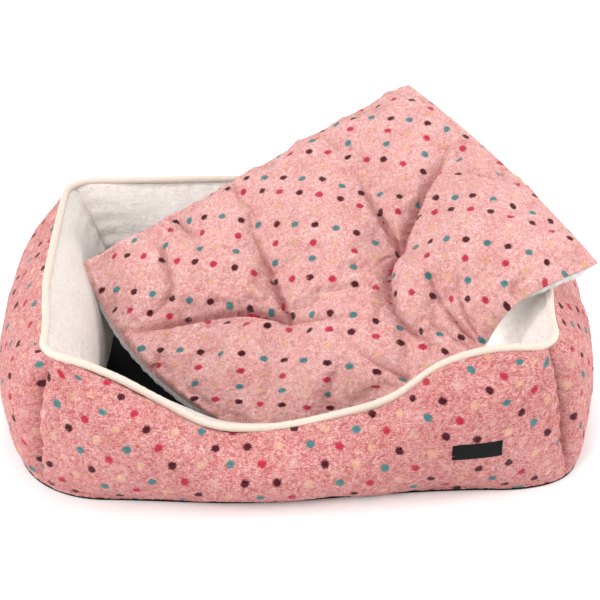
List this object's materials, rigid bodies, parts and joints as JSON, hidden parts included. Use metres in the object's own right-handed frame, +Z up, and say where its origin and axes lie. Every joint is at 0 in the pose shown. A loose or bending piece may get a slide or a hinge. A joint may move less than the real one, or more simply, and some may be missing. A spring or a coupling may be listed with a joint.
{
  "type": "bolster pet bed with loose cushion",
  "caption": "Rectangular bolster pet bed with a low front entrance, piped rim and flat base, and a loose tufted reversible cushion lying askew in the well.",
  "frame": {"origin": "middle of the base cloth's underside, which the bed stands on", "axes": "+X to the right seen from the low entrance, +Y towards the back wall, +Z up"},
  "size_m": [0.596, 0.465, 0.2261],
  "materials": {
    "base_cloth": "black coated woven polyester with raised anti-slip dots underneath",
    "outer_plush": "short curly pink plush with small coloured polka dots",
    "liner_plush": "soft cream plush",
    "piping": "cream short-pile cloth over a cord",
    "label": "plain black woven tape",
    "cushion_top_plush": "short curly pink plush with small coloured polka dots",
    "cushion_under_plush": "soft greyish white plush",
    "fibre_fill": "loose polyester fibre"
  },
  "bodies": {
    "bed": {"base_cloth": "base_cloth", "outer_panel_front": "outer_plush", "outer_panel_right": "outer_plush", "outer_panel_back": "outer_plush", "outer_panel_left": "outer_plush", "liner_panel_front": "liner_plush", "liner_panel_right": "liner_plush", "liner_panel_back": "liner_plush", "liner_panel_left": "liner_plush", "bolster_fill_front": "fibre_fill", "bolster_fill_right": "fibre_fill", "bolster_fill_back": "fibre_fill", "bolster_fill_left": "fibre_fill", "rim_piping": "piping", "woven_label": "label"},
    "cushion": {"cushion_top_panel": "cushion_top_plush", "cushion_bottom_panel": "cushion_under_plush", "cushion_fill": "fibre_fill"}
  },
  "joints": [
    {"name": "cushion_lift", "type": "slide", "parent": "bed", "child": "cushion", "axis": [0, 0, 1], "range_m": [0, 0.2]}
  ]
}
